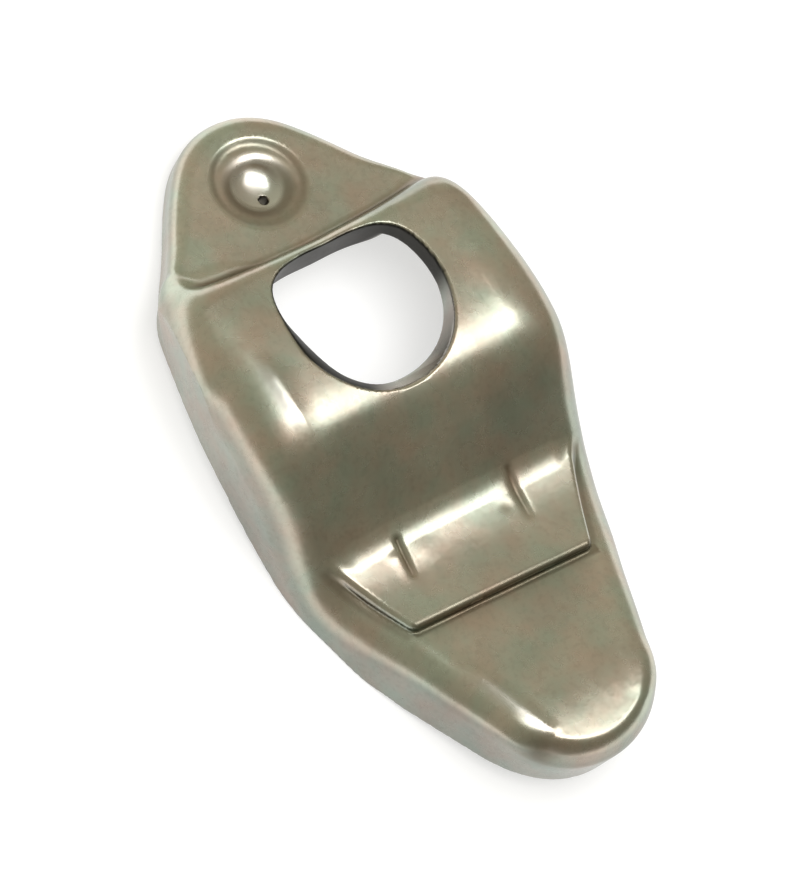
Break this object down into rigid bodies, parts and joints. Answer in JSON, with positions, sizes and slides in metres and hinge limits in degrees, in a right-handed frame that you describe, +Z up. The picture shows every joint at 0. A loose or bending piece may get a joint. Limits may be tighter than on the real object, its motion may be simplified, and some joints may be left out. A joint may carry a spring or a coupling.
{
  "type": "rocker arm",
  "caption": "Stamped sheet-steel rocker arm with pushrod cup, fulcrum opening and valve pad, lying on its open rim with the underside up.",
  "frame": {"origin": "on the vertical axis of the fulcrum opening, in the plane that the rim rests on", "axes": "+X to the nose (valve end), +Z up through the underside, Y = 0 is the plane of symmetry"},
  "size_m": [0.0817, 0.041, 0.015],
  "materials": {
    "steel": "tumbled, satin, lightly oil-stained"
  },
  "bodies": {
    "root": {"rocker_arm": "steel"}
  },
  "joints": []
}
